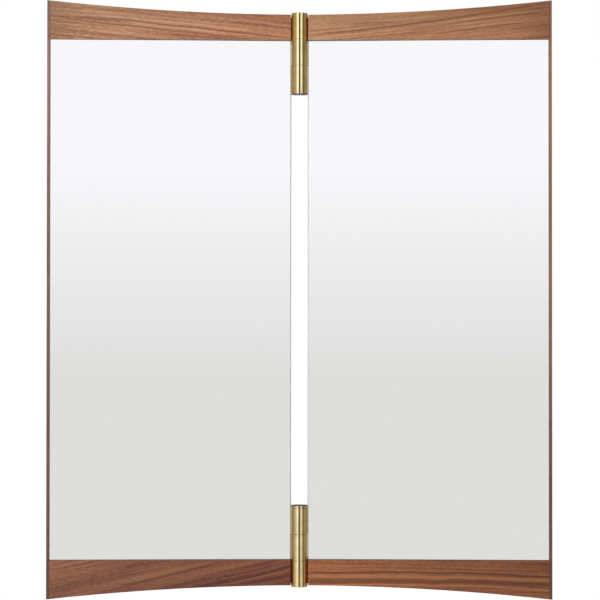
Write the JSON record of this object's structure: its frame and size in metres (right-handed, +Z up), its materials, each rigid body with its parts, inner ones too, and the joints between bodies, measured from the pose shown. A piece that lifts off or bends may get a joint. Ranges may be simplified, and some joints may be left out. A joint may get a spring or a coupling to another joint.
{
  "type": "shutter mirror",
  "caption": "Folding wall mirror: framed mirror shutters with hollow-arched walnut rails, swinging forward on brass barrel hinges.",
  "frame": {"origin": "centre of the four wall screw holes, on the wall plane at mid height, in line with the hinge axis", "axes": "+Z up along the hinge axis, +Y into the wall (the mirrors face -Y), +X to the viewer's right"},
  "size_m": [0.5918, 0.0395, 0.7],
  "materials": {
    "walnut_rail": "satin oil",
    "walnut_stile": "satin oil",
    "pale_band": "painted",
    "birch_board": "raw",
    "beech_dowel": "raw",
    "mirror_glass": "polished",
    "brass": "brushed",
    "washer_brass": "satin",
    "steel": "satin",
    "bronze_plate": "satin",
    "foam_tape": "matt",
    "rubber": "matt"
  },
  "bodies": {
    "wall_mount": {"upper_wall_plate": "bronze_plate", "lower_wall_plate": "bronze_plate", "upper_bracket_knuckle": "brass", "lower_bracket_knuckle": "brass", "bracket_screws": "steel", "upper_hinge_pin": "steel", "lower_hinge_pin": "steel", "hinge_washers": "washer_brass", "upper_end_cap": "brass", "lower_end_cap": "brass", "cap_screws": "steel", "pin_set_screws": "steel"},
    "left_wing": {"left_backing_board": "birch_board", "left_mirror_glass": "mirror_glass", "left_adhesive_strips": "foam_tape", "left_top_rail": "walnut_rail", "left_bottom_rail": "walnut_rail", "left_outer_stile": "walnut_stile", "left_edge_band": "pale_band", "left_rail_dowels": "beech_dowel", "left_upper_leaf": "brass", "left_lower_leaf": "brass", "left_upper_knuckle": "brass", "left_lower_knuckle": "brass", "left_leaf_screws": "steel", "left_wall_bumpers": "rubber"},
    "right_wing": {"right_backing_board": "birch_board", "right_mirror_glass": "mirror_glass", "right_adhesive_strips": "foam_tape", "right_top_rail": "walnut_rail", "right_bottom_rail": "walnut_rail", "right_outer_stile": "walnut_stile", "right_edge_band": "pale_band", "right_rail_dowels": "beech_dowel", "right_upper_leaf": "brass", "right_lower_leaf": "brass", "right_upper_knuckle": "brass", "right_lower_knuckle": "brass", "right_leaf_screws": "steel", "right_wall_bumpers": "rubber"}
  },
  "joints": [
    {"name": "left_wing_hinge", "type": "hinge", "parent": "wall_mount", "child": "left_wing", "pos_m": [0, -0.024, 0], "axis": [0, 0, 1], "range_deg": [-3, 42]},
    {"name": "right_wing_hinge", "type": "hinge", "parent": "wall_mount", "child": "right_wing", "pos_m": [0, -0.024, 0], "axis": [0, 0, -1], "range_deg": [-3, 42]}
  ]
}
